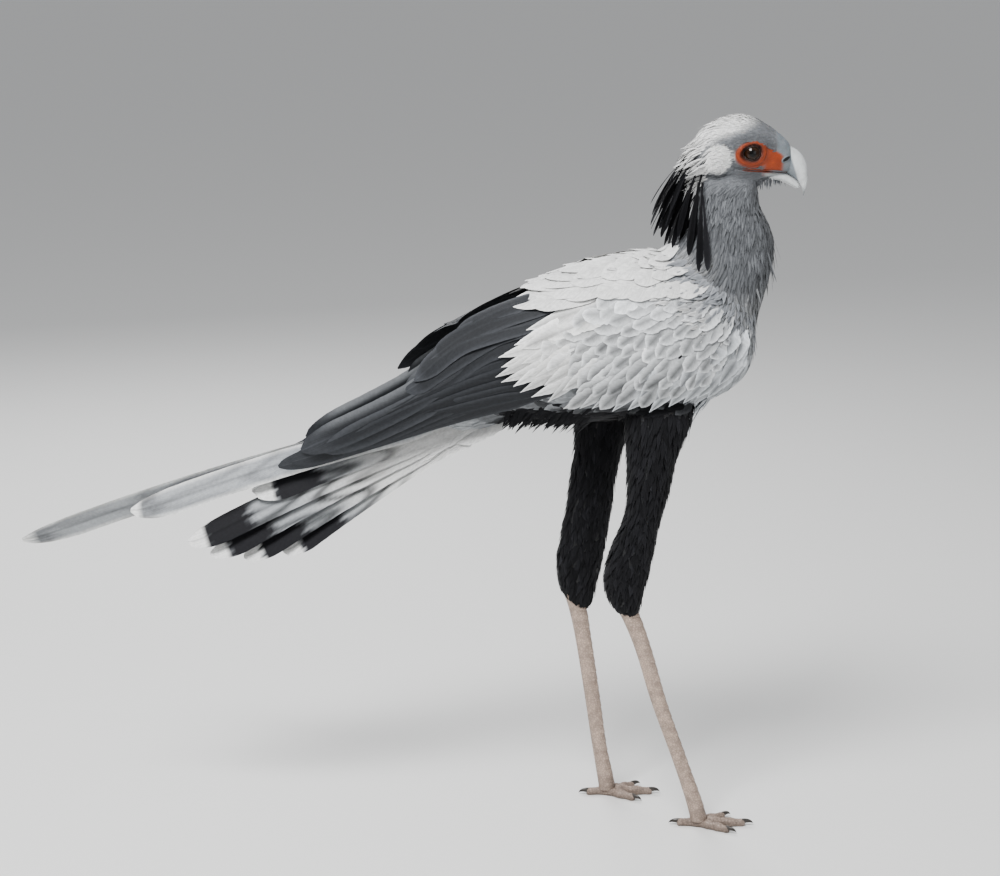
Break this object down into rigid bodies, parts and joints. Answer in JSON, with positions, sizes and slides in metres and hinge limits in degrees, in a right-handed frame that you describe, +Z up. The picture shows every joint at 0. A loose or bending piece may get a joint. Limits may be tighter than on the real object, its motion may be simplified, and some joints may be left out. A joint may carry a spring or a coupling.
{
  "type": "secretary bird",
  "caption": "Life-size standing secretary bird with folded wings, drooping nape crest, long stepped tail and long scaled legs; a still museum model.",
  "frame": {"origin": "on the floor, half way between the front of the bill and the tip of the longest tail feather, in the bird's middle plane", "axes": "+X from the tail to the bill, +Y to the bird's left, +Z up"},
  "size_m": [1.0874, 0.1974, 0.9959],
  "materials": {
    "body_plumage": "matte",
    "rump_plumage": "matte",
    "neck_plumage": "matte",
    "head_skin": "matte",
    "bill_horn": "satin",
    "eye_brown": "gloss",
    "crest_black": "matte",
    "wing_plumage": "matte",
    "tail_plumage": "matte",
    "thigh_black": "matte",
    "leg_scales": "satin",
    "claw_horn": "satin"
  },
  "bodies": {
    "root": {"torso": "body_plumage", "rump": "rump_plumage", "neck": "neck_plumage", "head": "head_skin", "bill_upper": "bill_horn", "bill_lower": "bill_horn", "crest": "crest_black", "tail": "tail_plumage", "eye_right": "eye_brown", "wing_right": "wing_plumage", "thigh_right": "thigh_black", "shank_right": "leg_scales", "foot_right": "leg_scales", "claw_middle_right": "claw_horn", "claw_inner_right": "claw_horn", "claw_outer_right": "claw_horn", "claw_hind_right": "claw_horn", "eye_left": "eye_brown", "wing_left": "wing_plumage", "thigh_left": "thigh_black", "shank_left": "leg_scales", "foot_left": "leg_scales", "claw_middle_left": "claw_horn", "claw_inner_left": "claw_horn", "claw_outer_left": "claw_horn", "claw_hind_left": "claw_horn"}
  },
  "joints": []
}
